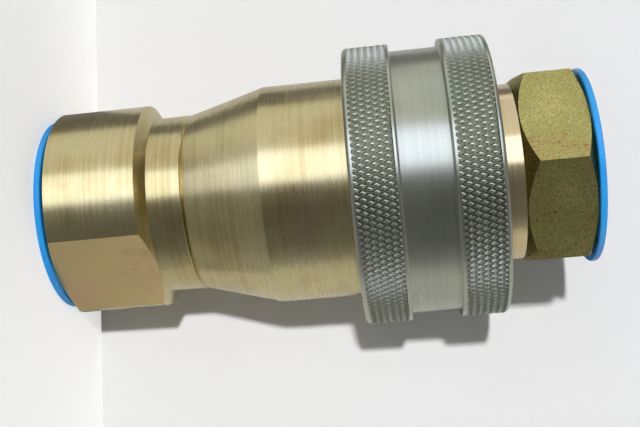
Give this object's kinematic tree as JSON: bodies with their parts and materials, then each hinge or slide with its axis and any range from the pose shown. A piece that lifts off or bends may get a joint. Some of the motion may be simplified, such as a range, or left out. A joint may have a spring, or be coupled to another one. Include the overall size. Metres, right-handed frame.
{
  "type": "quick coupling",
  "caption": "Ball-lock fluid quick coupling: coupler and nipple halves joined, with a knurled sliding sleeve, a hexagon nipple and push-in port plugs.",
  "frame": {"origin": "on the coupling's axis, at the outer face of the coupler's port plug, on which it stands", "axes": "+Z along the coupling's axis, from the coupler to the nipple; the wrench flats face +X-Y and -X+Y"},
  "size_m": [0.0638, 0.0638, 0.1219],
  "materials": {
    "plated_steel": "turned steel, zinc plated with a yellow-olive passivation",
    "sleeve_steel": "knurled and turned steel, zinc plated, grey-green passivation",
    "nipple_steel": "turned and milled steel, zinc plated with a yellow passivation",
    "valve_steel": "turned steel, zinc plated",
    "spring_steel": "drawn spring wire",
    "ball_steel": "ground and polished bearing steel",
    "seal_rubber": "moulded nitrile rubber",
    "backup_ptfe": "turned PTFE",
    "plug_plastic": "moulded soft polyethylene, blue"
  },
  "bodies": {
    "coupler": {"coupler_adapter": "plated_steel", "coupler_body": "plated_steel", "joint_o_ring": "seal_rubber", "sleeve_spring": "spring_steel", "sleeve_retaining_ring": "spring_steel", "locking_balls": "ball_steel", "probe_o_ring": "seal_rubber", "probe_backup_ring": "backup_ptfe", "coupler_valve_guide": "valve_steel", "coupler_valve_spring": "spring_steel"},
    "sleeve": {"locking_sleeve": "sleeve_steel"},
    "nipple": {"nipple_body": "nipple_steel", "nipple_valve_guide": "valve_steel", "nipple_guide_ring": "spring_steel", "nipple_valve_spring": "spring_steel"},
    "coupler_poppet": {"coupler_poppet": "valve_steel", "coupler_poppet_seal": "seal_rubber"},
    "nipple_poppet": {"nipple_poppet": "valve_steel", "nipple_poppet_seal": "seal_rubber"},
    "coupler_plug": {"coupler_port_plug": "plug_plastic"},
    "nipple_plug": {"nipple_port_plug": "plug_plastic"}
  },
  "joints": [
    {"name": "sleeve_slide", "type": "slide", "parent": "coupler", "child": "sleeve", "axis": [0, 0, -1], "range_m": [0, 0.006], "stiffness_N_per_m": 3500, "springref_m": -0.005, "deforming": ["sleeve_spring"]},
    {"name": "nipple_swivel", "type": "hinge", "parent": "coupler", "child": "nipple", "pos_m": [0, 0, 0.08], "axis": [0, 0, 1], "continuous": true},
    {"name": "coupler_valve", "type": "slide", "parent": "coupler", "child": "coupler_poppet", "axis": [0, 0, 1], "range_m": [-0.0015, 0.0015], "stiffness_N_per_m": 3000, "deforming": ["coupler_valve_spring"]},
    {"name": "nipple_valve", "type": "slide", "parent": "nipple", "child": "nipple_poppet", "axis": [0, 0, 1], "range_m": [-0.0015, 0.0015], "deforming": ["nipple_valve_spring"]},
    {"name": "coupler_plug_pull", "type": "slide", "parent": "coupler", "child": "coupler_plug", "axis": [0, 0, -1], "range_m": [0, 0.06]},
    {"name": "nipple_plug_pull", "type": "slide", "parent": "nipple", "child": "nipple_plug", "axis": [0, 0, 1], "range_m": [0, 0.06]}
  ],
  "couplings": [
    {"joint": "nipple_valve", "follows": "coupler_valve", "ratio": 1}
  ]
}
